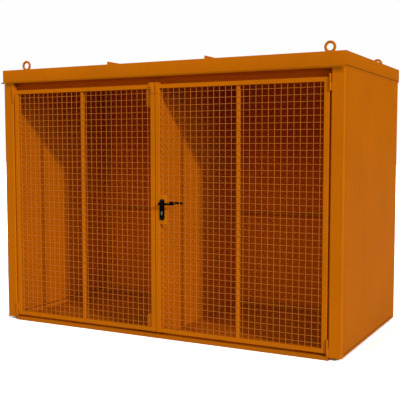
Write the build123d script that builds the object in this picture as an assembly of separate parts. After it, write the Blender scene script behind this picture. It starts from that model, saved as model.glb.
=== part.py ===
from build123d import *
import os

# Body: outer faces of the posts, and the top of the roof edge
body_width = 3100
body_depth = 1548
roof_top = 2215

# Corner posts and the gap that they and the side sills keep from the ground
post_width = 100
front_post_depth = 60
rear_post_depth = 65
post_wall = 4
post_radius = 8
foot_gap = 25

# Floor frame and floor
front_sill_height = 32
sill_depth = 40
side_sill_height = 21
sill_wall = 3
wall_foot_gap = 6
wall_foot_inset = 6
bearer_thickness = 5
bearer_width = 100
bearer_spacing = 750
edge_bar_thickness = 8
floor_thickness = 5

# Walls, of hollow upright panels with a groove at each joint
wall_thickness = 40
wall_skin = 1.5
panel_pitch = 600
side_joint_from_front = 550
rear_joint_from_post = 525
partition_joint_from_front = 416
groove_width = 5
groove_depth = 3
partition_setback = 10

# Restraint rails on the rear wall
rail_height = 35
rail_depth = 22
rail_sheet = 3
rail_centre_height = 918
rail_end_gap = 40

# Roof edge, roof sheets and the standing seams between them
fascia_height = 116
fascia_lip_height = 14
fascia_overhang = 6
fascia_sheet = 3
fascia_top_flange = 30
roof_sheet_thickness = 3
seam_offset = 446
seam_shift = 6
seam_width = 12
seam_height = 22
seam_sheet = 3

# Beam over the doors
header_setback = 70
header_depth = 40
header_clearance = 22

# Door leaves
hinge_gap = 14
meeting_gap = 6
sill_to_door = 20
door_below_roof = 178
stile_width = 39
door_rail_height = 33
frame_depth = 40
frame_wall = 2
tube_radius = 3
centre_bar_width = 30

# Welded wire mesh
wire_pitch = 50
wire_size = 4
mesh_setback = 4
wire_sides = 6

# Barrel hinges
barrel_radius = 7
pin_radius = 4
pin_clearance = 0.3
barrel_length = 60
pin_engagement = 50
hinge_forward = 8
web_grip = 15
hinge_above_door = 22
hinge_above_sill = 4
hinge_end_gap = 0.5

# Lock on the right leaf
lock_case_width = 67
lock_case_height = 235
lock_case_wall = 2
lock_case_top_above_spindle = 69
handle_from_edge = 63
spindle_height = 1096
handle_plate_width = 42
handle_plate_length = 169
handle_plate_thickness = 8
handle_plate_above_spindle = 35
cylinder_below_spindle = 72
cylinder_radius = 8.5
cylinder_slot_width = 10
cylinder_drop = 16
cylinder_stand = 3
keyway_width = 2.4
keyway_height = 9
keyway_depth = 6
cylinder_clearance = 0.3

# Lever handles
spindle_size = 8
spindle_hole_radius = 7
neck_radius = 9
neck_clearance = 0.4
neck_length = 46
lever_reach = 136
lever_height = 20
lever_thickness = 12
lever_chamfer = 2.5

# Stop plates at the top of the meeting stiles
stop_thickness = 4
stop_rise = 16
stop_drop = 74
stop_foot_width = 34
stop_tip_width = 24
stop_wing_width = 63
stop_wing_drop = 20
stop_wing_slant = 22

# Shoot bolts on the left leaf
bolt_housing_width = 45
bolt_housing_depth = 20
top_housing_length = 155
bottom_housing_length = 120
housing_slant = 25
bolt_radius = 6
bolt_inset = 22

# Pin on the left front post for a door stay
stay_pin_radius = 5
stay_pin_length = 38
stay_pin_from_front = 10
stay_pin_below_roof = 108
stay_pin_clearance = 1

# Lifting eyes
eye_hole_radius = 25
eye_ring_radius = 45
eye_thickness = 20
eye_chamfer = 6
eye_base_radius = 26
eye_base_height = 12
eye_centre_height = 46
eye_side_inset = 153
eye_front_inset = 124

# Faces and levels that several pieces share
front_face = -body_depth / 2
rear_face = body_depth / 2
half_width = body_width / 2
opening_half = half_width - post_width
roof_underside = roof_top - roof_sheet_thickness
side_sill_top = foot_gap + side_sill_height
wall_foot = side_sill_top + wall_foot_gap
floor_top = bearer_thickness + floor_thickness
inner_half = half_width - wall_thickness
rear_wall_face = rear_face - wall_thickness
front_post_back = front_face + front_post_depth
rear_post_front = rear_face - rear_post_depth
door_bottom = front_sill_height + sill_to_door
door_top = roof_top - door_below_roof
door_back = front_face + frame_depth
hinge_edge = opening_half - hinge_gap
hinge_x = opening_half - hinge_gap / 2
hinge_y = front_face - hinge_forward
meeting_edge = meeting_gap / 2
clear_bottom = door_bottom + door_rail_height
clear_top = door_top - door_rail_height
header_bottom = door_top + header_clearance
header_back = front_face + header_setback + header_depth
spindle_x = meeting_edge + handle_from_edge
lock_left = meeting_edge + stile_width
lock_right = lock_left + lock_case_width
lock_top = spindle_height + lock_case_top_above_spindle
lock_bottom = lock_top - lock_case_height
cylinder_z = spindle_height - cylinder_below_spindle
mesh_front = front_face + mesh_setback
mesh_middle = mesh_front + wire_size
mesh_back = mesh_middle + wire_size
stay_pin_y = front_face + stay_pin_from_front
stay_pin_z = roof_top - stay_pin_below_roof


def block(x0, x1, y0, y1, z0, z1):
    """A plain block between two corners."""
    centre = Location(((x0 + x1) / 2, (y0 + y1) / 2, (z0 + z1) / 2))
    return centre * Box(abs(x1 - x0), abs(y1 - y0), abs(z1 - z0))


def upright_tube(x0, x1, y0, y1, z0, z1, wall, radius):
    """A rectangular tube that stands upright, with rounded corners."""
    outer = Rectangle(x1 - x0, y1 - y0)
    outer = fillet(outer.vertices(), radius)
    inner = Rectangle(x1 - x0 - 2 * wall, y1 - y0 - 2 * wall)
    section = outer - inner
    return Location(((x0 + x1) / 2, (y0 + y1) / 2, z0)) * extrude(section, z1 - z0)


def level_tube(x0, x1, y0, y1, z0, z1, wall, radius):
    """A rectangular tube that runs from left to right, with rounded corners."""
    outer = Rectangle(y1 - y0, z1 - z0)
    outer = fillet(outer.vertices(), radius)
    inner = Rectangle(y1 - y0 - 2 * wall, z1 - z0 - 2 * wall)
    section = Plane.YZ * (outer - inner)
    return Location((x0, (y0 + y1) / 2, (z0 + z1) / 2)) * extrude(section, x1 - x0)


def mirrored(shape):
    """The same piece on the other side of the middle."""
    return mirror(shape, about=Plane.YZ)


# Floor frame

def front_sill():
    return level_tube(-opening_half, opening_half, front_face, front_face + sill_depth,
                      0, front_sill_height, sill_wall, tube_radius)


def rear_sill():
    """The rear tube, with a narrower strip on it that carries the rear wall."""
    tube = level_tube(-opening_half, opening_half, rear_face - sill_depth, rear_face,
                      0, side_sill_top, sill_wall, tube_radius)
    strip = block(-opening_half, opening_half, rear_wall_face + wall_foot_inset, rear_face - wall_foot_inset,
                  side_sill_top, wall_foot)
    return tube + strip


def side_sills():
    """Flat bars between the posts, with a narrower strip on each that carries the side wall."""
    bar = block(inner_half, half_width, front_post_back, rear_post_front, foot_gap, side_sill_top)
    strip = block(inner_half + wall_foot_inset, half_width - wall_foot_inset, front_post_back, rear_post_front,
                  side_sill_top, wall_foot)
    right = bar + strip
    return [right, mirrored(right)]


def floor_bearers():
    """Flat bars under the floor, and an edge bar along each side sill."""
    front = front_face + sill_depth
    rear = rear_face - sill_depth
    bars = []
    for x in (-bearer_spacing, 0, bearer_spacing):
        bars.append(block(x - bearer_width / 2, x + bearer_width / 2, front, rear, 0, bearer_thickness))
    edge = block(inner_half - edge_bar_thickness, inner_half, front_post_back, rear_post_front, 0, side_sill_top)
    return bars + [edge, mirrored(edge)]


def floor_plate():
    half = inner_half - edge_bar_thickness
    plate = block(-half, half, front_face + sill_depth, rear_face - sill_depth, bearer_thickness, floor_top)
    for side in (-1, 1):
        front_corner = block(side * opening_half, side * half, front_face, front_post_back, 0, floor_top)
        rear_corner = block(side * opening_half, side * half, rear_post_front, rear_face, 0, floor_top)
        plate = plate - front_corner - rear_corner
    return plate


# Posts, walls and partition

def front_posts():
    right = upright_tube(opening_half, half_width, front_face, front_post_back,
                         foot_gap, roof_underside, post_wall, post_radius)
    return [right, mirrored(right)]


def rear_posts():
    right = upright_tube(opening_half, half_width, rear_post_front, rear_face,
                         foot_gap, roof_underside, post_wall, post_radius)
    return [right, mirrored(right)]


def panel_section(start, end, first_joint):
    """Plan of a wall along X, centred on Y = 0: hollow panels, with a groove on both faces at each joint."""
    joints = []
    place = first_joint
    while place < end - groove_width - 2 * wall_skin:
        joints.append(place)
        place += panel_pitch
    section = Location(((start + end) / 2, 0)) * Rectangle(end - start, wall_thickness)
    for joint in joints:
        for face in (-wall_thickness / 2, wall_thickness / 2):
            section -= Location((joint, face)) * Rectangle(groove_width, 2 * groove_depth)
    beside_joint = groove_width / 2 + wall_skin
    starts = [start + wall_skin] + [joint + beside_joint for joint in joints]
    ends = [joint - beside_joint for joint in joints] + [end - wall_skin]
    for left, right in zip(starts, ends):
        section -= Location(((left + right) / 2, 0)) * Rectangle(right - left, wall_thickness - 2 * wall_skin)
    return section


def wall_along_y(start, end, first_joint, middle_x, bottom, top):
    """A panelled wall that runs from front to back."""
    wall = extrude(panel_section(start, end, first_joint), top - bottom)
    return Location((middle_x, 0, bottom), (0, 0, 90)) * wall


def side_wall():
    return wall_along_y(front_post_back, rear_post_front, front_face + side_joint_from_front,
                        half_width - wall_thickness / 2, wall_foot, roof_underside)


def rear_wall():
    section = panel_section(-opening_half, opening_half, rear_joint_from_post - opening_half)
    wall = extrude(section, roof_underside - wall_foot)
    return Location((0, rear_face - wall_thickness / 2, wall_foot)) * wall


def partition():
    """The middle wall, up to the underside of the beam over the doors."""
    return wall_along_y(door_back + partition_setback, rear_wall_face, front_face + partition_joint_from_front,
                        0, floor_top, header_bottom)


def partition_head():
    """The top of the middle wall, behind the beam over the doors."""
    return wall_along_y(header_back, rear_wall_face, front_face + partition_joint_from_front,
                        0, header_bottom, roof_underside)


def restraint_rails():
    """A channel on the rear wall of each compartment, open towards the doors."""
    outer = Rectangle(rail_depth, rail_height)
    inner = Location((-rail_sheet, 0)) * Rectangle(rail_depth, rail_height - 2 * rail_sheet)
    section = Plane.YZ * (outer - inner)
    start = wall_thickness / 2 + rail_end_gap
    length = opening_half - rail_end_gap - start
    right = Location((start, rear_wall_face - rail_depth / 2, rail_centre_height)) * extrude(section, length)
    return [right, mirrored(right)]


def door_header():
    return level_tube(-inner_half, inner_half, front_face + header_setback, header_back,
                      header_bottom, roof_underside, sill_wall, tube_radius)


# Roof

def fascia(length, height):
    """A folded roof edge that runs along X, mitred at both ends, with its outer face at Y = 0.

    Its lower lip slants in to the face of the posts.
    """
    lip = fascia_overhang
    flange = fascia_top_flange
    outline = Polyline((0, height), (flange, height), (flange, height - fascia_sheet),
                       (fascia_sheet, height - fascia_sheet), (fascia_sheet, fascia_lip_height),
                       (lip, fascia_sheet), (lip, 0), (0, fascia_lip_height), close=True)
    section = Plane.YZ * make_face(outline)
    bar = Location((-length / 2, 0, 0)) * extrude(section, length)
    for side in (-1, 1):
        corner = Polyline((side * length / 2, 0), (side * length / 2, flange),
                          (side * (length / 2 - flange), flange), close=True)
        bar -= extrude(make_face(corner), height)
    return bar


def front_fascia():
    bar = fascia(body_width + 2 * fascia_overhang, fascia_height)
    return Location((0, front_face - fascia_overhang, roof_top - fascia_height)) * bar


def rear_fascia():
    return mirror(front_fascia(), about=Plane.XZ)


def side_fascias():
    bar = fascia(body_depth + 2 * fascia_overhang, fascia_height)
    place = Location((half_width + fascia_overhang, 0, roof_top - fascia_height), (0, 0, 90))
    right = place * bar
    left = mirrored(right)
    reach = stay_pin_radius + stay_pin_clearance
    notch = block(-half_width - 2 * fascia_overhang, -half_width + fascia_overhang,
                  stay_pin_y - reach, stay_pin_y + reach, stay_pin_z - reach, stay_pin_z + reach)
    return [right, left - notch]


def seam_places():
    return [seam_shift - seam_offset, seam_shift + seam_offset]


def roof_sheets():
    """Three sheets inside the roof edge, with a slot under each seam cap."""
    half_x = half_width + fascia_overhang - fascia_top_flange
    half_y = body_depth / 2 + fascia_overhang - fascia_top_flange
    slot = seam_sheet
    edges = [-half_x] + seam_places() + [half_x]
    sheets = []
    for left, right in zip(edges[:-1], edges[1:]):
        left_gap = slot / 2 if left > -half_x else 0
        right_gap = slot / 2 if right < half_x else 0
        sheets.append(block(left + left_gap, right - right_gap, -half_y, half_y, roof_underside, roof_top))
    return sheets


def seam_caps():
    """A folded cap with closed ends over each joint between roof sheets."""
    outline = RectangleRounded(seam_width, 2 * seam_height, seam_sheet)
    lower = Location((0, -seam_height)) * Rectangle(seam_width, 2 * seam_height)
    section = Plane.XZ * (outline - lower)
    length = body_depth + 2 * fascia_overhang
    hollow_top = seam_height - seam_sheet
    hollow = block(seam_sheet - seam_width / 2, seam_width / 2 - seam_sheet, seam_sheet, length - seam_sheet,
                   0, hollow_top)
    cap = Location((0, length, 0)) * extrude(section, length) - hollow
    return [Location((x, -length / 2, roof_top)) * cap for x in seam_places()]


def lifting_eye():
    """A forged eye: a ring with a flat land inside, on a round base."""
    middle = (eye_hole_radius + eye_ring_radius) / 2
    ring_section = Location((middle, 0)) * Rectangle(eye_ring_radius - eye_hole_radius, eye_thickness)
    ring_section = chamfer(ring_section.vertices(), eye_chamfer)
    ring = revolve(Plane.XY * ring_section, Axis.Y)
    ring = Location((0, 0, eye_centre_height)) * ring
    base = Location((0, 0, eye_base_height / 2)) * Cylinder(eye_base_radius, eye_base_height)
    hole = Location((0, 0, eye_centre_height), (90, 0, 0)) * Cylinder(eye_hole_radius, 4 * eye_base_radius)
    return ring + (base - hole)


def lifting_eyes():
    eyes = []
    for side in (-1, 1):
        for end in (-1, 1):
            x = side * (half_width - eye_side_inset)
            y = end * (body_depth / 2 - eye_front_inset)
            eyes.append(Location((x, y, roof_top)) * lifting_eye())
    return eyes


# Hinges

def hinge_bases():
    """Underside of the fixed half of each hinge on one post."""
    lower = front_sill_height + hinge_above_sill
    upper = door_top + hinge_above_door - 2 * barrel_length
    return [lower, upper]


def post_hinges():
    """The fixed barrels with their pins, welded to the posts."""
    halves = []
    for base in hinge_bases():
        barrel = Location((hinge_x, hinge_y, base + barrel_length / 2)) * Cylinder(barrel_radius, barrel_length)
        web = block(hinge_x, opening_half, hinge_y, front_face + web_grip, base, base + barrel_length)
        pin_length = barrel_length + pin_engagement
        pin = Location((hinge_x, hinge_y, base + pin_length / 2)) * Cylinder(pin_radius, pin_length)
        right = barrel + web + pin
        halves += [right, mirrored(right)]
    return halves


def door_hinges():
    """The lifting barrels of the right leaf, which turn on the pins."""
    halves = []
    for base in hinge_bases():
        bottom = base + barrel_length + hinge_end_gap
        length = barrel_length - hinge_end_gap
        barrel = Location((hinge_x, hinge_y, bottom + length / 2)) * Cylinder(barrel_radius, length)
        web = block(hinge_edge, hinge_x, hinge_y, front_face + web_grip, bottom, bottom + length)
        bore_length = pin_engagement + pin_clearance
        bore = Location((hinge_x, hinge_y, bottom + bore_length / 2))
        bore *= Cylinder(pin_radius + pin_clearance, bore_length)
        halves.append(barrel + web - bore)
    return halves


# Door leaves, drawn as the right leaf

def door_stiles():
    hinge_stile = upright_tube(hinge_edge - stile_width, hinge_edge, front_face, door_back,
                               door_bottom, door_top, frame_wall, tube_radius)
    meeting_stile = upright_tube(meeting_edge, meeting_edge + stile_width, front_face, door_back,
                                 door_bottom, door_top, frame_wall, tube_radius)
    return [hinge_stile, meeting_stile]


def door_rails():
    left = meeting_edge + stile_width
    right = hinge_edge - stile_width
    bottom_rail = level_tube(left, right, front_face, door_back, door_bottom, clear_bottom,
                             frame_wall, tube_radius)
    top_rail = level_tube(left, right, front_face, door_back, clear_top, door_top, frame_wall, tube_radius)
    return [bottom_rail, top_rail]


def door_centre_bar():
    middle = (meeting_edge + hinge_edge) / 2
    half = centre_bar_width / 2
    return upright_tube(middle - half, middle + half, mesh_back, door_back, clear_bottom, clear_top,
                        frame_wall, tube_radius)


def wire_section(facing):
    """A wire's outline, with one of its flats across the direction it faces, in degrees."""
    return RegularPolygon(wire_size / 2, wire_sides, major_radius=False, rotation=facing - 180 / wire_sides)


def wire_places(start, end):
    """Places of the wires between two edges, evenly about the middle."""
    count = int((end - start) / wire_pitch)
    margin = (end - start - (count - 1) * wire_pitch) / 2
    return [start + margin + number * wire_pitch for number in range(count)]


def upright_wires(has_lock):
    """Front layer of the mesh; a wire that meets the lock case stops above and below it."""
    left = meeting_edge + stile_width
    right = hinge_edge - stile_width
    section = wire_section(90)
    wires = []
    for x in wire_places(left, right):
        spans = [(clear_bottom, clear_top)]
        if has_lock and x - wire_size / 2 < lock_right:
            spans = [(clear_bottom, lock_bottom), (lock_top, clear_top)]
        for low, high in spans:
            wires.append(Location((x, mesh_front + wire_size / 2, low)) * extrude(section, high - low))
    return wires


def cross_wires(has_lock):
    """Rear layer of the mesh; a wire that meets the lock case starts beside it."""
    left = meeting_edge + stile_width
    right = hinge_edge - stile_width
    section = Plane.YZ * wire_section(0)
    wires = []
    for z in wire_places(clear_bottom, clear_top):
        beside_lock = has_lock and lock_bottom < z + wire_size / 2 and z - wire_size / 2 < lock_top
        start = lock_right if beside_lock else left
        wires.append(Location((start, mesh_middle + wire_size / 2, z)) * extrude(section, right - start))
    return wires


# Lock and handles

def cylinder_outline(grow):
    """Profile of the lock cylinder, looking along Y: a circle over a rounded slot."""
    circle = Circle(cylinder_radius + grow)
    slot = Location((0, -cylinder_drop / 2)) * Rectangle(cylinder_slot_width + 2 * grow, cylinder_drop)
    toe = Location((0, -cylinder_drop)) * Circle(cylinder_slot_width / 2 + grow)
    return circle + slot + toe


def along_y(section, x, z, y0, y1):
    """A section drawn in X and Z, run from y0 back to y1."""
    return Location((x, y1, z)) * extrude(Plane.XZ * section, y1 - y0)


def lock_cylinder():
    front = front_face - handle_plate_thickness - cylinder_stand
    back = door_back + handle_plate_thickness + cylinder_stand
    body = along_y(cylinder_outline(0), spindle_x, cylinder_z, front, back)
    keyway = Rectangle(keyway_width, keyway_height)
    body -= along_y(keyway, spindle_x, cylinder_z, front, front + keyway_depth)
    body -= along_y(keyway, spindle_x, cylinder_z, back - keyway_depth, back)
    return body


def lock_case():
    """A welded box beside the meeting stile, as deep as the door frame."""
    case = block(lock_left, lock_right, front_face, door_back, lock_bottom, lock_top)
    wall = lock_case_wall
    case -= block(lock_left + wall, lock_right - wall, front_face + wall, door_back - wall,
                  lock_bottom + wall, lock_top - wall)
    case -= along_y(Circle(spindle_hole_radius), spindle_x, spindle_height, front_face, door_back)
    case -= along_y(cylinder_outline(cylinder_clearance), spindle_x, cylinder_z, front_face, door_back)
    return case


def handle_plate(y0, y1):
    outline = RectangleRounded(handle_plate_width, handle_plate_length, handle_plate_width / 2 - 1)
    middle = spindle_height + handle_plate_above_spindle - handle_plate_length / 2
    plate = along_y(outline, spindle_x, middle, y0, y1)
    plate -= along_y(Circle(neck_radius + neck_clearance), spindle_x, spindle_height, y0, y1)
    plate -= along_y(cylinder_outline(cylinder_clearance), spindle_x, cylinder_z, y0, y1)
    return plate


def handle_plates():
    outer = handle_plate(front_face - handle_plate_thickness, front_face)
    inner = handle_plate(door_back, door_back + handle_plate_thickness)
    return [outer, inner]


def lever_arm(y0, y1):
    """A flat arm with round ends that reaches to the right of the spindle."""
    straight = lever_reach - lever_height / 2
    arm = Location((straight / 2, 0)) * SlotCenterToCenter(straight, lever_height)
    arm = along_y(arm, spindle_x, spindle_height, y0, y1)
    ends = arm.faces().sort_by(Axis.Y)
    return chamfer(ends[0].edges() + ends[-1].edges(), lever_chamfer)


def lever_handles():
    """Both levers on one square spindle."""
    front = front_face - neck_length
    back = door_back + neck_length
    outer = lever_arm(front - lever_thickness, front)
    inner = lever_arm(back, back + lever_thickness)
    outer_neck = along_y(Circle(neck_radius), spindle_x, spindle_height, front, front_face)
    inner_neck = along_y(Circle(neck_radius), spindle_x, spindle_height, door_back, back)
    spindle = along_y(Rectangle(spindle_size, spindle_size), spindle_x, spindle_height, front_face, door_back)
    return outer + inner + outer_neck + inner_neck + spindle


# Shoot bolts of the left leaf, drawn on the right and mirrored

def bolt_housing(z0, z1, slant_low):
    """A folded housing behind the mesh, cut slantwise at its free end."""
    x0 = meeting_edge + stile_width
    x1 = x0 + bolt_housing_width
    if slant_low:
        outline = Polyline((x0, z1), (x1, z1), (x1, z0 + housing_slant), (x0, z0), close=True)
    else:
        outline = Polyline((x0, z1), (x1, z1 - housing_slant), (x1, z0), (x0, z0), close=True)
    y0 = mesh_back
    y1 = y0 + bolt_housing_depth
    body = Location((0, y1, 0)) * extrude(Plane.XZ * make_face(outline), y1 - y0)
    bolt_x = x0 + bolt_inset
    body -= Location((bolt_x, (y0 + y1) / 2, (z0 + z1) / 2)) * Cylinder(bolt_radius + pin_clearance, z1 - z0)
    return body


def shoot_bolts():
    top = bolt_housing(clear_top - top_housing_length, clear_top, True)
    bottom = bolt_housing(clear_bottom, clear_bottom + bottom_housing_length, False)
    return [mirrored(top), mirrored(bottom)]


# Stop plates

def right_stop_plate():
    """A plate on the meeting stile of the right leaf, with a narrow tip above the door."""
    foot = meeting_edge + stop_foot_width
    tip = meeting_edge + stop_tip_width
    outline = Polyline((meeting_edge, door_top - stop_drop), (foot, door_top - stop_drop), (foot, door_top),
                       (tip, door_top), (tip, door_top + stop_rise), (meeting_edge, door_top + stop_rise),
                       close=True)
    return along_y(make_face(outline), 0, 0, front_face - stop_thickness, front_face)


def left_stop_plate():
    """A plate on the left leaf, drawn on the right, with a slanted wing along the top rail."""
    foot = meeting_edge + stop_foot_width
    wing = meeting_edge + stop_wing_width
    outline = Polyline((meeting_edge, door_top - stop_drop), (foot, door_top - stop_drop),
                       (foot, door_top - stop_wing_drop), (wing, door_top - stop_wing_drop), (wing, door_top),
                       (wing - stop_wing_slant, door_top + stop_rise), (meeting_edge, door_top + stop_rise),
                       close=True)
    return mirrored(along_y(make_face(outline), 0, 0, front_face - stop_thickness, front_face))


def stay_pin():
    """A short pin on the left front post, through a notch in the lip of the roof edge."""
    place = Location((-half_width - stay_pin_length / 2, stay_pin_y, stay_pin_z), (0, 90, 0))
    return place * Cylinder(stay_pin_radius, stay_pin_length)


def write(name, solids):
    """One file for a node, holding one solid or several that don't touch."""
    shape = Compound(children=list(solids)) if isinstance(solids, list) else solids
    export_step(shape, os.path.join("parts", name + ".step"))


def main():
    os.makedirs("parts", exist_ok=True)
    write("front_sill", front_sill())
    write("rear_sill", rear_sill())
    write("side_sills", side_sills())
    write("floor_bearers", floor_bearers())
    write("floor_plate", floor_plate())
    write("front_posts", front_posts())
    write("rear_posts", rear_posts())
    write("right_wall", side_wall())
    write("left_wall", mirrored(side_wall()))
    write("rear_wall", rear_wall())
    write("partition", partition())
    write("partition_head", partition_head())
    write("restraint_rails", restraint_rails())
    write("door_header", door_header())
    write("front_fascia", front_fascia())
    write("rear_fascia", rear_fascia())
    write("side_fascias", side_fascias())
    write("roof_sheets", roof_sheets())
    write("seam_caps", seam_caps())
    write("lifting_eyes", lifting_eyes())
    write("post_hinges", post_hinges())
    for side, place, has_lock in (("right", lambda piece: piece, True), ("left", mirrored, False)):
        write(side + "_door_stiles", [place(piece) for piece in door_stiles()])
        write(side + "_door_rails", [place(piece) for piece in door_rails()])
        write(side + "_door_centre_bar", place(door_centre_bar()))
        write(side + "_door_upright_wires", [place(piece) for piece in upright_wires(has_lock)])
        write(side + "_door_cross_wires", [place(piece) for piece in cross_wires(has_lock)])
        write(side + "_door_hinges", [place(piece) for piece in door_hinges()])
    write("lock_case", lock_case())
    write("handle_plates", handle_plates())
    write("lock_cylinder", lock_cylinder())
    write("lever_handles", lever_handles())
    write("shoot_bolts", shoot_bolts())
    write("right_stop_plate", right_stop_plate())
    write("left_stop_plate", left_stop_plate())
    write("stay_pin", stay_pin())


main()
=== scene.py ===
import math
import bmesh
import bpy
from mathutils import Matrix, Vector


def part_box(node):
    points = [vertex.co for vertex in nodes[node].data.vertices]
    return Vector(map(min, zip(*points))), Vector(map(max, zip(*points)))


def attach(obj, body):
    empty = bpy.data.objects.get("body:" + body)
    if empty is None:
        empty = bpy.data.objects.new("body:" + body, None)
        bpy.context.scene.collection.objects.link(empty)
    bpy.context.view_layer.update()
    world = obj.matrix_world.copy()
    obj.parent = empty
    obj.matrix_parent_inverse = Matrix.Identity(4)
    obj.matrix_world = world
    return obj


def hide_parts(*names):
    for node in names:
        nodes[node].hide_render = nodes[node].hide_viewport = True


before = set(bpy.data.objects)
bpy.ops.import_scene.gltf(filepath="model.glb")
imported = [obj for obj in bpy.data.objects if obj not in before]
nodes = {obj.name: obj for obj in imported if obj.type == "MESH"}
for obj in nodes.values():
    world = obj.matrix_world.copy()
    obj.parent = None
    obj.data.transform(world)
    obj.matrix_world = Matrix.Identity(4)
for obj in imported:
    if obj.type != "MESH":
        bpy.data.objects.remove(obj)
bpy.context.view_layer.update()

print("frame loaded:", len(nodes), "nodes")


# camera and lamps

view = {
    "place": (3.1475, -5.9759, 1.5393),
    "turn": 27.494,          # degrees to the left of straight ahead
    "tilt": -4.419,
    "lens": 68.48,
    "sensor": 36,
    "shift": (-0.010, 0.016),
    "farthest": 200,
}

lamps = {
    # azimuth from straight ahead of the doors towards the right wall, height, power and spread
    "key": (61.5, 23, 1.48, 3.2),
    "frontSoftbox": (0, 36, 0.78, 50),
    "sideSoftbox": (50, 15, 1.10, 50),
    "rearSoftbox": (192, 36, 0.42, 60),
}


def addCamera():
    data = bpy.data.cameras.new("camera")
    data.lens = view["lens"]
    data.sensor_width = view["sensor"]
    data.shift_x, data.shift_y = view["shift"]
    data.clip_end = view["farthest"]
    camera = bpy.data.objects.new("camera", data)
    camera.location = view["place"]
    camera.rotation_euler = (math.radians(90 + view["tilt"]), 0, math.radians(view["turn"]))
    bpy.context.scene.collection.objects.link(camera)
    bpy.context.scene.camera = camera


def towards(azimuth, height):
    # unit vector from the object to a lamp
    a = math.radians(azimuth)
    h = math.radians(height)
    return Vector((math.sin(a) * math.cos(h), -math.cos(a) * math.cos(h), math.sin(h)))


def addLamp(name):
    azimuth, height, power, spread = lamps[name]
    data = bpy.data.lights.new(name, "SUN")
    data.energy = power
    data.angle = math.radians(spread)
    direction = towards(azimuth, height)
    lamp = bpy.data.objects.new(name, data)
    lamp.location = direction * 10       # a sun shines alike from any distance
    lamp.rotation_euler = direction.to_track_quat("Z", "Y").to_euler()
    bpy.context.scene.collection.objects.link(lamp)


bpy.context.scene.view_settings.view_transform = "Standard"
addCamera()
for name in lamps:
    addLamp(name)
print("camera and lamps ready")


# shader maths

class Link:
    # one output of a shader tree, so that sums on it read as plain arithmetic
    def __init__(self, tree, socket=None):
        self.tree = tree
        self.socket = socket

    def add(self, kind, settings=None, values=None, give=0):
        node = self.tree.nodes.new(kind)
        for key, value in (settings or {}).items():
            setattr(node, key, value)
        for key, value in (values or {}).items():
            connect(node, key, value)
        return Link(self.tree, node.outputs[give])

    def maths(self, operation, first, second=0.0):
        return self.add("ShaderNodeMath", {"operation": operation}, {0: first, 1: second})

    def __add__(self, other):
        return self.maths("ADD", self, other)

    def __radd__(self, other):
        return self.maths("ADD", other, self)

    def __sub__(self, other):
        return self.maths("SUBTRACT", self, other)

    def __rsub__(self, other):
        return self.maths("SUBTRACT", other, self)

    def __mul__(self, other):
        return self.maths("MULTIPLY", self, other)

    def __rmul__(self, other):
        return self.maths("MULTIPLY", other, self)

    def __abs__(self):
        return self.maths("ABSOLUTE", self)

    def between(self, low, high):
        # 0 at low, 1 at high, smooth in the middle
        return self.add("ShaderNodeMapRange", {"interpolation_type": "SMOOTHSTEP"},
                        {"Value": self, "From Min": low, "From Max": high, "To Min": 0.0, "To Max": 1.0})

    def mix(self, colourWhen0, colourWhen1):
        # a Mix node's colour sockets share their names with others, so they go by number
        return self.add("ShaderNodeMix", {"data_type": "RGBA"},
                        {0: self, 6: colourWhen0, 7: colourWhen1}, give=2)

    def axis(self, number):
        return self.add("ShaderNodeSeparateXYZ", None, {0: self}, give=number)

    def stretch(self, scale):
        return self.add("ShaderNodeMapping", None, {"Vector": self, "Scale": scale})

    def noise(self, scale, detail, roughness=0.5):
        return self.add("ShaderNodeTexNoise", None,
                        {"Vector": self, "Scale": scale, "Detail": detail, "Roughness": roughness})

    def bump(self, strength, distance):
        return self.add("ShaderNodeBump", None, {"Strength": strength, "Distance": distance, "Height": self})


def connect(node, key, value):
    if isinstance(value, Link):
        value.tree.links.new(value.socket, node.inputs[key])
    else:
        node.inputs[key].default_value = value


def newMaterial(name):
    # gives the material, the place on the object, and the shader
    material = bpy.data.materials.new(name)
    material.use_nodes = True
    where = Link(material.node_tree).add("ShaderNodeTexCoord", give="Object")
    return material, where, material.node_tree.nodes["Principled BSDF"]


def rgba(colour, gain=1.0):
    return (colour[0] * gain, colour[1] * gain, colour[2] * gain, 1.0)


# paint

paintLook = {
    "colour": (0.64, 0.163, 0.002),
    "toneSpread": 0.07,                  # share by which the colour drifts over a panel
    "ior": 1.065,                        # low, the paint is nearly matt
    "roughness": (0.42, 0.16, 0.50),     # plain, what the clouds change, what dust adds
    # patterns: grains a metre, detail and roughness
    "broad": (1.7, 3.0, 0.55),
    "cloud": (11.0, 6.0, 0.62),
    "grain": (420, 2.0),
    "streaks": (1.0, 4.0),
    "streakStretch": (26.0, 26.0, 0.9),  # streaks run down a panel
    "driftShares": (0.70, 0.30, 0.25),   # of broad, streaks and cloud
    "driftReach": 0.30,
    "bumpShares": (0.6, 0.4),            # of grain and cloud
    "bump": (0.35, 0.00012),             # strength and depth
}

dustLook = {
    "colour": (0.30, 0.155, 0.02),
    "height": 0.30,                      # metres up to which splashed dust shows
    "share": 0.22,
    "patches": (0.38, 0.72),             # the part of the clouds where it lies
    "streaks": (0.55, 0.80),
    "streakShare": 0.04,
}

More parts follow.
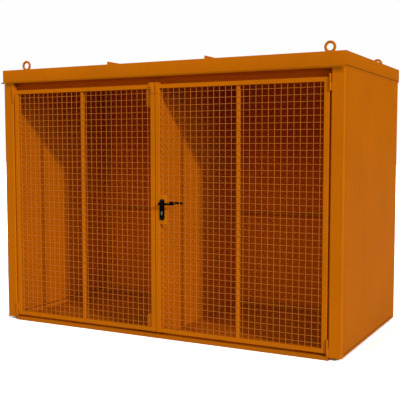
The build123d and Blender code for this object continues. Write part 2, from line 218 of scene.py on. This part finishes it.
# darkening of the paint in bands of height: painted shade in most bands, named band by band below
darkBandLook = {
    "tone": 0.30,                        # of the paint's own brightness
    "fade": 0.030,                       # metres over which it ends sideways
    "softEnd": 0.40,                     # of the band, where it ends upwards or downwards
    "streaks": (0.85, 0.30),             # even part, and part that follows the streaks
    # bands: height where it starts, where it is full and where it ends again, then its share,
    # and how far out to the sides it reaches
    # painted shadow of the roof edge on the front posts, fading out before the outer corner
    "underRoofEdgeShadow": (2.049, 2.099, 9.0, 0.75, 1.545),
    # painted shade on the roof edge's lower lip, which faces down away from the light
    "roofEdgeLipShade": (2.119, 2.109, -9.0, 0.30, 1.545),
    # painted shadow line at the fold under the side roof edges
    "sideEdgeFoldShadow": (2.1185, 2.1165, 2.1085, 0.80, 9.0),
    # painted shade on the lower part of the header, to take back the bounce light there
    "headerFootShade": (2.090, 2.055, -9.0, 0.45, 9.0),
    # the walls darker towards the bottom
    "darkerLow": (0.60, 0.00, -9.0, 0.12, 9.0),
    # painted shadow in the gap above the side sills, and painted shade along their lower edge
    "sillGapShadow": (0.0450, 0.0464, 9.0, 0.85, 9.0),
    "sillFootShade": (0.0300, 0.0255, -9.0, 0.70, 9.0),
    # painted shade on the upper part of the shoot bolt housing
    "upperBoltShade": (1.0, 1.8, 9.0, 0.34, 9.0),
}

insideShadeLook = {
    # painted shade: the deeper red of the shaded inside face, lit by light bounced within, low down and high
    # up
    "low": (0.74, 0.160, 0.002),
    "high": (0.80, 0.146, 0.002),
    "heights": (0.3, 1.8),
    "edge": 0.002,                       # metres in depth over which it takes over
}


def bandOf(heights, across, streaks, band):
    # darkening over a band of heights, which is painted shade in most bands
    start, full, end, share, reach = darkBandLook[band]
    even, streaked = darkBandLook["streaks"]
    darkening = heights.between(start, full) * heights.between(end, full + (end - full) * darkBandLook["softEnd"])
    darkening = darkening * across.between(reach, reach - darkBandLook["fade"])
    return darkening * (even + streaks * streaked) * share


def paintMaterial(name, colour=paintLook["colour"], gain=1.0, dust=1.0, peel=1.0, darkening=(), insideBefore=None):
    material, where, shader = newMaterial(name)
    look = paintLook
    across, depth, height = abs(where.axis(0)), where.axis(1), where.axis(2)
    broad = where.noise(*look["broad"])
    streaks = where.stretch(look["streakStretch"]).noise(*look["streaks"])
    cloud = where.noise(*look["cloud"])
    grain = where.noise(*look["grain"])

    broadShare, streakShare, cloudShare = look["driftShares"]
    drift = (broad - 0.5) * broadShare + (streaks - 0.5) * streakShare + (cloud - 0.5) * cloudShare
    shade = drift.between(-look["driftReach"], look["driftReach"])
    spread = look["toneSpread"]
    paint = shade.mix(rgba(colour, gain * (1 - spread)), rgba(colour, gain * (1 + spread)))
    if insideBefore:
        # painted shade: the face towards the doors takes the deeper red of the shaded inside
        edge = insideShadeLook["edge"]
        rise = height.between(*insideShadeLook["heights"])
        deep = rise.mix(rgba(insideShadeLook["low"], gain), rgba(insideShadeLook["high"], gain))
        paint = depth.between(insideBefore + edge, insideBefore - edge).mix(paint, deep)
    splash = (1 - height.between(0.0, dustLook["height"])) * cloud.between(*dustLook["patches"])
    runs = streaks.between(*dustLook["streaks"])
    film = splash * (dustLook["share"] * dust) + runs * (dustLook["streakShare"] * dust)
    paint = film.mix(paint, rgba(dustLook["colour"]))
    # darken the paint band by band, mostly as painted shade
    for band in darkening:
        paint = bandOf(height, across, streaks, band).mix(paint, rgba(colour, gain * darkBandLook["tone"]))

    plain, roughByCloud, roughByFilm = look["roughness"]
    bumpByGrain, bumpByCloud = look["bumpShares"]
    strength, distance = look["bump"]
    connect(shader, "Base Color", paint)
    connect(shader, "Roughness", plain + (cloud - 0.5) * roughByCloud + film * roughByFilm)
    connect(shader, "IOR", look["ior"])
    connect(shader, "Normal", (grain * bumpByGrain + cloud * bumpByCloud).bump(strength * peel, distance))
    return material


# plastic and bare metal

plasticLook = {
    "colour": (0.0035, 0.003, 0.003),
    "wornGain": 2.2,
    "worn": (0.55, 0.85),                # the part of the rub pattern that is worn
    "roughness": (0.40, 0.2),            # plain, and what the rub pattern changes
    "ior": 1.14,
    "grain": (1800, 3.0),
    "rub": (60.0, 5.0),
    "bump": (0.25, 0.00004),
}

metalLook = {
    "stretch": (900.0, 40.0, 900.0),     # drawn lines along Y
    "lines": (1.0, 3.0),
    "spots": (90.0, 5.0),
    "tones": (0.8, 1.1),
    "toneReach": (0.3, 0.7),
    "roughSpread": 0.2,
    "bump": (0.2, 0.00003),
}


def plasticMaterial(name):
    material, where, shader = newMaterial(name)
    look = plasticLook
    grain = where.noise(*look["grain"])
    rub = where.noise(*look["rub"])
    plain, ofRub = look["roughness"]
    worn = rub.between(*look["worn"])
    connect(shader, "Base Color", worn.mix(rgba(look["colour"]), rgba(look["colour"], look["wornGain"])))
    connect(shader, "Roughness", plain + (rub - 0.5) * ofRub)
    connect(shader, "IOR", look["ior"])
    connect(shader, "Normal", grain.bump(*look["bump"]))
    return material


def metalMaterial(name, colour, roughness, metallic=1.0):
    material, where, shader = newMaterial(name)
    look = metalLook
    lines = where.stretch(look["stretch"]).noise(*look["lines"])
    spots = where.noise(*look["spots"])
    dull, bright = look["tones"]
    tone = (lines * 0.5 + spots * 0.5).between(*look["toneReach"])
    connect(shader, "Base Color", tone.mix(rgba(colour, dull), rgba(colour, bright)))
    connect(shader, "Metallic", metallic)
    connect(shader, "Roughness", roughness + (spots - 0.5) * look["roughSpread"])
    connect(shader, "Normal", lines.bump(*look["bump"]))
    return material


orange = paintMaterial("orange paint")
# most darkening bands passed here paint shade into the colour, as described where each band is listed
postPaint = paintMaterial("post paint", darkening=("underRoofEdgeShadow",))
roofEdgePaint = paintMaterial("roof edge paint", gain=1.02, darkening=("roofEdgeLipShade",))
sideEdgePaint = paintMaterial("side edge paint", darkening=("sideEdgeFoldShadow",))
# header paint: a deeper red that is painted shade of the recess, and darker towards its foot
headerPaint = paintMaterial("header paint", (0.80, 0.140, 0.003), darkening=("headerFootShade",))
wallPaint = paintMaterial("wall paint", darkening=("darkerLow",))
# a redder orange for the left wall and partition: painted shade of the container's inside
innerWallPaint = paintMaterial("inner wall paint", (0.695, 0.166, 0.002), darkening=("darkerLow",))
rearWallPaint = paintMaterial("rear wall paint", darkening=("darkerLow",), insideBefore=0.754)
sillPaint = paintMaterial("sill paint", gain=0.87, dust=1.3, peel=1.2)
sideSillPaint = paintMaterial("side sill paint", gain=0.90, dust=1.3, darkening=("sillGapShadow", "sillFootShade"))
floorPaint = paintMaterial("floor paint", (0.62, 0.150, 0.002), gain=0.88, peel=1.3)
# a paler, less saturated orange for the wires: a painted highlight for the sheen on the round wires
meshPaint = paintMaterial("mesh paint", (0.61, 0.180, 0.022), dust=0.3, peel=0.4)
weldPaint = paintMaterial("weld paint", gain=0.94, dust=0.8, peel=1.8)
boltPaint = paintMaterial("bolt housing paint", darkening=("upperBoltShade",))
blackPlastic = plasticMaterial("black handle")
lockMetal = metalMaterial("lock metal", (0.62, 0.61, 0.58), 0.32)
darkSteel = metalMaterial("dark steel", (0.03, 0.028, 0.028), 0.55, 0.2)

finishes = {
    # nodes that aren't in plain orange
    "front_posts": postPaint,
    "front_sill": sillPaint,
    "rear_sill": sillPaint,
    "floor_plate": floorPaint,
    "door_header": headerPaint,
    "right_wall": wallPaint,
    "left_wall": innerWallPaint,
    "partition": innerWallPaint,
    "rear_wall": rearWallPaint,
    "handle_plates": blackPlastic,
    "lever_handles": blackPlastic,
    "lock_cylinder": lockMetal,
    "stay_pin": darkSteel,
}
for side in ("left", "right"):
    for layer in ("upright", "cross"):
        finishes[side + "_door_" + layer + "_wires"] = meshPaint


def dress(thing, material):
    thing.data.materials.clear()
    thing.data.materials.append(material)


for name, node in nodes.items():
    for slot in node.material_slots:
        slot.material = finishes.get(name, orange)
print("materials ready")


# making pieces

def settle(bm, name, material, body, sharp=38, outward=False):
    # a finished bmesh becomes a piece that rides on a body
    if not outward:
        bmesh.ops.recalc_face_normals(bm, faces=bm.faces)
    limit = math.radians(sharp)
    for face in bm.faces:
        face.smooth = True
    for edge in bm.edges:
        edge.smooth = not edge.is_manifold or edge.calc_face_angle() < limit
    mesh = bpy.data.meshes.new(name)
    bm.to_mesh(mesh)
    bm.free()
    piece = bpy.data.objects.new(name, mesh)
    bpy.context.scene.collection.objects.link(piece)
    dress(piece, material)
    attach(piece, body)
    return piece


def vertsIn(geometry):
    return [item for item in geometry if isinstance(item, bmesh.types.BMVert)]


def partsOf(verts):
    # the vertices with the edges and faces on them
    edges = {edge for vert in verts for edge in vert.link_edges}
    faces = {face for vert in verts for face in vert.link_faces}
    return list(verts) + list(edges) + list(faces)


def repeat(bm, geometry, steps, step):
    # copies a shape along a line
    for number in range(1, steps):
        more = bmesh.ops.duplicate(bm, geom=geometry)["geom"]
        bmesh.ops.translate(bm, verts=vertsIn(more), vec=step * number)


def move(bm, matrix):
    bmesh.ops.transform(bm, matrix=matrix, verts=bm.verts)


def turnTo(direction, up="Y"):
    # turns what looks along Z to look along a direction
    return direction.to_track_quat("Z", up).to_matrix().to_4x4()


def pour(bm, part):
    # adds a finished part to a larger shape
    mesh = bpy.data.meshes.new("part")
    part.to_mesh(mesh)
    part.free()
    bm.from_mesh(mesh)
    bpy.data.meshes.remove(mesh)


squareFrom = 60              # degrees that an edge of a new part has to turn to be rounded


def sharpEdges(bm, limit=squareFrom):
    return [edge for edge in bm.edges if edge.is_manifold and edge.calc_face_angle() > math.radians(limit)]


def roundOff(bm, edges, radius, segments=2):
    bmesh.ops.bevel(bm, geom=edges, offset=radius, offset_type="OFFSET", segments=segments, profile=0.5,
                    affect="EDGES", clamp_overlap=True, material=-1)


def turnedPart(profile, steps):
    # a lathed part round Z from pairs of radius and height
    part = bmesh.new()
    rows = [part.verts.new((radius, 0, height)) for radius, height in profile]
    edges = [part.edges.new(pair) for pair in zip(rows[:-1], rows[1:])]
    bmesh.ops.spin(part, geom=rows + edges, cent=(0, 0, 0), axis=(0, 0, 1), dvec=(0, 0, 0),
                   angle=math.tau, steps=steps, use_merge=True)
    bmesh.ops.remove_doubles(part, verts=part.verts, dist=0.00001)
    return part


def ringPart(radius, bar, facets, axis):
    # a ring of round bar, whose facets are those round the ring and round the bar
    steps, sides = facets
    centreLine = (0, 0, 1) if axis == "Z" else (0, 1, 0)
    part = bmesh.new()
    made = bmesh.ops.create_circle(part, segments=sides, radius=bar)
    if axis == "Z":
        move(part, Matrix.Rotation(math.pi / 2, 4, "X"))
    move(part, Matrix.Translation((radius, 0, 0)))
    bmesh.ops.spin(part, geom=partsOf(made["verts"]), cent=(0, 0, 0), axis=centreLine,
                   dvec=(0, 0, 0), angle=math.tau, steps=steps, use_merge=True)
    return part


def rodPart(start, end, radius, sides, rim=0.0):
    # one round rod between two points
    line = end - start
    part = bmesh.new()
    bmesh.ops.create_cone(part, cap_ends=True, cap_tris=False, segments=sides,
                          radius1=radius, radius2=radius, depth=line.length)
    if rim:
        roundOff(part, sharpEdges(part), rim)
    move(part, Matrix.Translation((start + end) / 2) @ turnTo(line))
    return part


def blockPart(middle, size, rim):
    part = bmesh.new()
    bmesh.ops.create_cube(part, size=1.0)
    move(part, Matrix.Translation(middle) @ Matrix.Diagonal((*size, 1.0)))
    roundOff(part, sharpEdges(part), rim)
    return part


# folded and cut steel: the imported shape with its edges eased

easing = {
    # node: material, body, radius, and the axis that the eased edges run along, or none for all
    "front_fascia": (roofEdgePaint, "container", 0.0022, 0),
    "rear_fascia": (roofEdgePaint, "container", 0.0022, 0),
    "side_fascias": (sideEdgePaint, "container", 0.0022, 1),
    "seam_caps": (orange, "container", 0.0012, 1),
    "restraint_rails": (orange, "container", 0.0010, 0),
    "side_sills": (sideSillPaint, "container", 0.0015, 1),
    "lock_case": (orange, "right_door", 0.0016, None),
    "right_stop_plate": (orange, "right_door", 0.0007, None),
    "left_stop_plate": (orange, "left_door", 0.0007, None),
    "shoot_bolts": (boltPaint, "left_door", 0.0012, None),
    "handle_plates": (blackPlastic, "right_door", 0.0016, None),
    "lock_cylinder": (lockMetal, "right_door", 0.0004, None),
    "stay_pin": (darkSteel, "container", 0.0010, None),
    "post_hinges": (orange, "container", 0.0008, None),
    "left_door_hinges": (orange, "left_door", 0.0008, None),
    "right_door_hinges": (orange, "right_door", 0.0008, None),
}

easingLook = {
    "steps": 3,
    "from": 35,              # degrees that an edge has to turn to be eased
    "flat": 0.6,             # degrees within which facets count as one face
    "merge": 0.00002,        # metres within which corners are one
    "speck": 0.000001,       # length of an edge that is as good as none
}


def runsAlong(edge, axis):
    if axis is None:
        return True
    line = (edge.verts[1].co - edge.verts[0].co).normalized()
    return abs(line[axis]) > 0.99


def easedCopy(node):
    material, body, radius, axis = easing[node]
    look = easingLook
    bm = bmesh.new()
    bm.from_mesh(nodes[node].data)
    bmesh.ops.remove_doubles(bm, verts=bm.verts, dist=look["merge"])
    bmesh.ops.dissolve_limit(bm, angle_limit=math.radians(look["flat"]), verts=bm.verts, edges=bm.edges)
    corners = [edge for edge in sharpEdges(bm, look["from"]) if runsAlong(edge, axis)]
    roundOff(bm, corners, radius, look["steps"])
    bmesh.ops.dissolve_degenerate(bm, dist=look["speck"], edges=bm.edges)
    piece = settle(bm, node + "_eased", material, body)
    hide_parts(node)


for node in easing:
    easedCopy(node)
print("steel edges eased on", len(easing), "nodes")


# welded wire mesh of the doors

meshLook = {
    "radius": 0.0020,
    "sides": 8,
    "pitch": 0.050,
    "fuse": 0.00025,                     # how far the crossing wires are pressed into each other
    "spot": (0.0027, 0.0014, 0.0027),    # half sizes of the weld at a crossing
}


def evenPlaces(first, last):
    # places at about the mesh pitch from the first to the last
    steps = round((last - first) / meshLook["pitch"])
    step = (last - first) / steps
    return [first + number * step for number in range(steps + 1)]


def wire(bm, start, end):
    pour(bm, rodPart(Vector(start), Vector(end), meshLook["radius"], meshLook["sides"]))


def uprightWires(body, y, columns):
    radius = meshLook["radius"]
    low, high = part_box(body + "_upright_wires")
    caseLow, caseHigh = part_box("lock_case")
    bm = bmesh.new()
    for x in columns:
        if caseLow.x < x + radius and x - radius < caseHigh.x:
            # the lock case cuts this one in two
            wire(bm, (x, y, low.z), (x, y, caseLow.z))
            wire(bm, (x, y, caseHigh.z), (x, y, high.z))
        else:
            wire(bm, (x, y, low.z), (x, y, high.z))
    piece = settle(bm, body + "_upright_wires_round", meshPaint, body)
    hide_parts(body + "_upright_wires")


def crossWires(body, y, rows):
    radius = meshLook["radius"]
    low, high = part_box(body + "_cross_wires")
    caseLow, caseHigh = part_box("lock_case")
    bm = bmesh.new()
    for z in rows:
        besideCase = body == "right_door" and caseLow.z < z + radius and z - radius < caseHigh.z
        wire(bm, (caseHigh.x if besideCase else low.x, y, z), (high.x, y, z))
    piece = settle(bm, body + "_cross_wires_round", meshPaint, body)
    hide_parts(body + "_cross_wires")


def spotWelds(body, y, columns, rows):
    caseLow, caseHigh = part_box("lock_case")
    size = Matrix.Diagonal((*meshLook["spot"], 1.0))
    bm = bmesh.new()
    for x in columns:
        for z in rows:
            behindCase = caseLow.x < x < caseHigh.x and caseLow.z < z < caseHigh.z
            if not behindCase:
                place = Matrix.Translation((x, y, z)) @ size
                bmesh.ops.create_icosphere(bm, subdivisions=1, radius=1.0, matrix=place)
    settle(bm, body + "_mesh_spot_welds", meshPaint, body, sharp=80, outward=True)


def doorMesh(body):
    radius = meshLook["radius"]
    uprightLow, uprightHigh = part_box(body + "_upright_wires")
    crossLow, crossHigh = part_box(body + "_cross_wires")
    frontY = (uprightLow.y + uprightHigh.y) / 2 + meshLook["fuse"]
    backY = (crossLow.y + crossHigh.y) / 2 - meshLook["fuse"]
    columns = evenPlaces(uprightLow.x + radius, uprightHigh.x - radius)
    rows = evenPlaces(crossLow.z + radius, crossHigh.z - radius)
    uprightWires(body, frontY, columns)
    crossWires(body, backY, rows)
    spotWelds(body, (frontY + backY) / 2, columns, rows)


doorMesh("left_door")
doorMesh("right_door")
print("door mesh made")


# lifting eyes

eyeLook = {
    "height": 0.046,         # centre of the ring above the roof
    "ring": 0.035,           # centre line of the ring
    "bar": 0.0100,           # half the thickness of its bar
    "ringFacets": (56, 18),
    # outline of its foot as radius and height
    "foot": ((0.0, 0.0), (0.0260, 0.0), (0.0260, 0.0070), (0.0250, 0.0100), (0.0220, 0.0120),
             (0.0165, 0.0135), (0.0128, 0.0160), (0.0110, 0.0200), (0.0, 0.0210)),
    "footFacets": 32,
    "beadRing": 0.0262,
    "bead": 0.0022,
    "beadHeight": 0.0006,
    "beadFacets": (48, 8),
}


def eye(bm, foot):
    ring = ringPart(eyeLook["ring"], eyeLook["bar"], eyeLook["ringFacets"], "Y")
    move(ring, Matrix.Translation(foot + Vector((0, 0, eyeLook["height"]))))
    base = turnedPart(eyeLook["foot"], eyeLook["footFacets"])
    move(base, Matrix.Translation(foot))
    weld = ringPart(eyeLook["beadRing"], eyeLook["bead"], eyeLook["beadFacets"], "Z")
    move(weld, Matrix.Translation(foot + Vector((0, 0, eyeLook["beadHeight"]))))
    for part in (ring, base, weld):
        pour(bm, part)


def liftingEyes():
    low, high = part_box("lifting_eyes")
    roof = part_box("roof_sheets")[1].z
    reach = eyeLook["ring"] + eyeLook["bar"]
    footRadius = max(radius for radius, height in eyeLook["foot"])
    bm = bmesh.new()
    for x in (low.x + reach, high.x - reach):
        for y in (low.y + footRadius, high.y - footRadius):
            eye(bm, Vector((x, y, roof)))
    piece = settle(bm, "lifting_eyes_forged", orange, "container", sharp=60)
    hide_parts("lifting_eyes")


liftingEyes()
print("lifting eyes made")


# levers

leverLook = {
    "height": 0.020,
    "thick": 0.0115,
    "round": 0.0048,
    "roundSteps": 5,
    "stations": 14,          # along the arm
    "taper": 0.80,           # height at the tip, as a share
    "bow": 0.0040,           # how far the tip leans to the door
    "neck": 0.0088,
    "collar": 0.0098,
    "collarThick": 0.0035,
    "collarEdge": 0.0010,
    "sides": 28,             # of the neck and collar
    "spindle": 0.0055,       # half the diagonal of the square bar
}


def leverArm(length):
    # a bar along X from its spindle end, eased all round, lower towards its tip, which leans to -Y
    part = bmesh.new()
    made = bmesh.ops.create_grid(part, x_segments=leverLook["stations"], y_segments=1, size=0.5)
    faces = list({face for vert in made["verts"] for face in vert.link_faces})
    more = bmesh.ops.extrude_face_region(part, geom=faces)["geom"]
    bmesh.ops.translate(part, verts=vertsIn(more), vec=(0, 0, 1))
    bmesh.ops.recalc_face_normals(part, faces=part.faces)
    size = Matrix.Diagonal((length, leverLook["height"], leverLook["thick"], 1.0))
    move(part, size @ Matrix.Translation((0.5, 0, -0.5)))
    roundOff(part, sharpEdges(part), leverLook["round"], leverLook["roundSteps"])
    move(part, Matrix.Rotation(math.pi / 2, 4, "X"))
    for vert in part.verts:
        share = vert.co.x / length
        vert.co.z *= 1 - (1 - leverLook["taper"]) * share
        vert.co.y -= leverLook["bow"] * share ** 3
    return part


def lever(bm, low, high, front):
    # front is -1 for the outer lever and 1 for the inner one
    z = (low.z + high.z) / 2
    plateLow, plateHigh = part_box("handle_plates")
    face = plateLow.y if front < 0 else plateHigh.y
    far = low.y if front < 0 else high.y
    middle = far - front * leverLook["thick"] / 2
    arm = leverArm(high.x - low.x)
    if front < 0:
        move(arm, Matrix.Rotation(math.pi, 4, "X"))
    move(arm, Matrix.Translation((low.x, middle, z)))
    pour(bm, arm)
    x = low.x + leverLook["height"] / 2
    foot = Vector((x, face, z))
    collarTop = Vector((x, face + front * leverLook["collarThick"], z))
    pour(bm, rodPart(foot, Vector((x, middle, z)), leverLook["neck"], leverLook["sides"]))
    pour(bm, rodPart(foot, collarTop, leverLook["collar"], leverLook["sides"], leverLook["collarEdge"]))


def levers():
    low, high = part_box("lever_handles")
    plateLow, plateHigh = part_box("handle_plates")
    x = low.x + leverLook["height"] / 2
    z = (low.z + high.z) / 2
    bm = bmesh.new()
    for front in (-1, 1):
        lever(bm, low, high, front)
    pour(bm, rodPart(Vector((x, plateLow.y, z)), Vector((x, plateHigh.y, z)), leverLook["spindle"], 4))
    piece = settle(bm, "lever_handles_rounded", blackPlastic, "lever", sharp=50)
    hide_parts("lever_handles")


levers()
print("levers made")


# plate screws

screwLook = {
    "radius": 0.0040,
    "crown": 0.86,           # radius at the top, as a share
    "height": 0.0009,
    "socket": 0.0022,
    "socketFloor": 0.90,     # radius at its floor, as a share
    "depth": 0.0007,
    "facets": 16,
    "fromEnd": 0.0110,       # of the plate
}


def screwPart():
    # a low head with a round socket, looking along Z
    radius, socket, top = screwLook["radius"], screwLook["socket"], screwLook["height"]
    floor = top - screwLook["depth"]
    outline = ((0.0, 0.0), (radius, 0.0), (radius * screwLook["crown"], top), (socket, top),
               (socket * screwLook["socketFloor"], floor), (0.0, floor))
    return turnedPart(outline, screwLook["facets"])


def plateScrews():
    low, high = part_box("handle_plates")
    x = (low.x + high.x) / 2
    bm = bmesh.new()
    for y, front in ((low.y, -1), (high.y, 1)):
        for z in (low.z + screwLook["fromEnd"], high.z - screwLook["fromEnd"]):
            screw = screwPart()
            move(screw, Matrix.Translation((x, y, z)) @ turnTo(Vector((0, front, 0)), "X"))
            pour(bm, screw)
    settle(bm, "handle_plate_screws", darkSteel, "right_door", sharp=30)


plateScrews()
print("plate screws made")


# weld beads

weldLook = {
    "pitch": 0.0030,         # one ripple of the bead
    "ripple": 0.85,          # length of a ripple, as a share of its width
    "facets": (10, 5),
    "barrel": 0.060,         # length of half a hinge
    "hinge": 0.0026,
    "hingeEnds": 0.004,      # left free at each end of a hinge half
    "hingeProud": 0.0004,    # how far its middle stands off the post
    "besidePost": 0.0024,    # from the post's edge to the bead
    "besideLeaf": 0.0014,    # from the bead to the leaf's edge
    "corner": 0.0030,
    "cornerProud": 0.0006,   # how far a ground corner weld stands out
    "cornerEnds": 0.003,
    "rail": 0.033,           # height of a leaf's rail
}


def bead(bm, start, end, radius):
    # a row of overlapping ripples
    line = end - start
    steps = max(2, round(line.length / weldLook["pitch"]) + 1)
    around, along = weldLook["facets"]
    part = bmesh.new()
    bmesh.ops.create_uvsphere(part, u_segments=around, v_segments=along, radius=radius)
    squeeze = Matrix.Diagonal((1.0, 1.0, weldLook["ripple"], 1.0))
    move(part, Matrix.Translation(start) @ turnTo(line) @ squeeze)
    repeat(part, partsOf(part.verts), steps, line / (steps - 1))
    pour(bm, part)


def uprightBead(bm, x, y, low, high, ends, radius):
    bead(bm, Vector((x, y, low + ends)), Vector((x, y, high - ends)), radius)


def hingeBeads(node, body, x, spans, signs):
    # along the web of each hinge half, on the face that it is welded to
    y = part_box("front_posts")[0].y - weldLook["hingeProud"]
    bm = bmesh.new()
    for sign in signs:
        for low, high in spans:
            uprightBead(bm, sign * x, y, low, high, weldLook["hingeEnds"], weldLook["hinge"])
    settle(bm, node + "_beads", weldPaint, body, sharp=80, outward=True)


def allHingeBeads():
    half = weldLook["barrel"]
    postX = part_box("front_sill")[1].x + weldLook["besidePost"]
    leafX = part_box("right_door_stiles")[1].x - weldLook["besideLeaf"]
    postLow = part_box("post_hinges")[0].z
    leafLow, leafHigh = (corner.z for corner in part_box("right_door_hinges"))
    postSpans = ((postLow, postLow + half), (leafHigh - 2 * half, leafHigh - half))
    leafSpans = ((leafLow, leafLow + half), (leafHigh - half, leafHigh))
    hingeBeads("post_hinges", "container", postX, postSpans, (-1, 1))
    hingeBeads("left_door_hinges", "left_door", leafX, leafSpans, (-1,))
    hingeBeads("right_door_hinges", "right_door", leafX, leafSpans, (1,))


def cornerWelds(body):
    # ground welds where the rails of a leaf meet its stiles, front and back
    railLow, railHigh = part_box(body + "_rails")
    stileLow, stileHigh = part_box(body + "_stiles")
    radius, rail = weldLook["corner"], weldLook["rail"]
    bm = bmesh.new()
    for x in (railLow.x, railHigh.x):
        for z in (railLow.z, railHigh.z - rail):
            for face, inward in ((stileLow.y, 1), (stileHigh.y, -1)):
                y = face + inward * (radius - weldLook["cornerProud"])
                uprightBead(bm, x, y, z, z + rail, weldLook["cornerEnds"], radius)
    settle(bm, body + "_corner_welds", weldPaint, body, sharp=80, outward=True)


allHingeBeads()
cornerWelds("left_door")
cornerWelds("right_door")
print("weld beads made")


# packing plates that close the floor's corners under the posts

packerLook = {"postDepth": 0.060, "rearInset": 0.006, "edge": 0.0008}


def footPackers():
    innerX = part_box("front_sill")[1].x
    floorLow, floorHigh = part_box("floor_plate")
    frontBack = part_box("front_posts")[0].y + packerLook["postDepth"]
    rearLow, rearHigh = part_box("rear_posts")
    z = (rearLow.z + floorLow.z) / 2
    bm = bmesh.new()
    for sign in (-1, 1):
        x = sign * (floorHigh.x + innerX) / 2
        for y0, y1 in ((floorLow.y, frontBack), (rearLow.y, rearHigh.y - packerLook["rearInset"])):
            size = Vector((floorHigh.x - innerX, y1 - y0, rearLow.z - floorLow.z))
            pour(bm, blockPart(Vector((x, (y0 + y1) / 2, z)), size, packerLook["edge"]))
    settle(bm, "post_foot_packers", sillPaint, "container")


footPackers()
print("packers made")


# a sheet under the door header, put there to cast shade over the leaves and keep the light from streaming in
# over them

shadeSheetLook = {"drop": 0.051, "thick": 0.003, "clear": 0.0005, "edge": 0.0006}


def headerShadeSheet():
    low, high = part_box("door_header")
    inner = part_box("partition")[1].x + shadeSheetLook["clear"]
    size = Vector((high.x - inner, shadeSheetLook["thick"], shadeSheetLook["drop"]))
    y = low.y + shadeSheetLook["thick"] / 2
    z = low.z - shadeSheetLook["drop"] / 2
    bm = bmesh.new()
    for sign in (-1, 1):
        pour(bm, blockPart(Vector((sign * (high.x + inner) / 2, y, z)), size, shadeSheetLook["edge"]))
    settle(bm, "door_header_shade_sheet", headerPaint, "container")


headerShadeSheet()
print("header lip made")


# floor and sky

floorLook = {
    "colour": (0.52, 0.52, 0.52),
    "seen": (3.0, 3.1, 3.15),    # what the camera sees of it, so that a pale floor throws little light back
    "drift": 0.01,
    "patches": (0.8, 2.0),
    "beside": 1.7,               # times as much to the left of the object, where its shadow falls
    "besideX": (-1.60, -1.70),
    "lit": 0.75,                 # and to the right of it and in front
    "litX": (1.56, 1.60),
    "litY": (-0.80, -0.84),
    "roughness": 0.85,
    "size": 60,
}

skyLook = {
    "colour": (1.0, 1.0, 1.0),
    "power": 0.03,
    "backdrop": 0.99,            # what the camera sees behind the object
}


def addFloor():
    material, where, shader = newMaterial("studio floor")
    look = floorLook
    seen = look["seen"]
    lit = rgba(seen, look["lit"])
    sideways, depth = where.axis(0), where.axis(1)
    patches = where.noise(*look["patches"])
    tone = patches.mix(rgba(seen, 1 - look["drift"]), rgba(seen, 1 + look["drift"]))
    tone = sideways.between(*look["litX"]).mix(tone, lit)
    tone = depth.between(*look["litY"]).mix(tone, lit)
    tone = sideways.between(*look["besideX"]).mix(tone, rgba(seen, look["beside"]))
    ofCamera = where.add("ShaderNodeLightPath")      # its first output marks the camera's rays
    connect(shader, "Base Color", ofCamera.mix(rgba(look["colour"]), tone))
    connect(shader, "Roughness", look["roughness"])
    bm = bmesh.new()
    bmesh.ops.create_grid(bm, x_segments=1, y_segments=1, size=look["size"])
    mesh = bpy.data.meshes.new("studio_floor")
    bm.to_mesh(mesh)
    bm.free()
    floor = bpy.data.objects.new("studio_floor", mesh)
    bpy.context.scene.collection.objects.link(floor)
    dress(floor, material)


def addSky():
    # the object is lit by the dimmer sky, and stands before a white backdrop
    world = bpy.data.worlds.new("studio")
    world.use_nodes = True
    shader = world.node_tree.nodes["Background"]
    ofCamera = Link(world.node_tree).add("ShaderNodeLightPath")
    connect(shader, "Color", rgba(skyLook["colour"]))
    connect(shader, "Strength", skyLook["power"] + ofCamera * (skyLook["backdrop"] - skyLook["power"]))
    bpy.context.scene.world = world


addFloor()
addSky()
print("floor and sky ready")
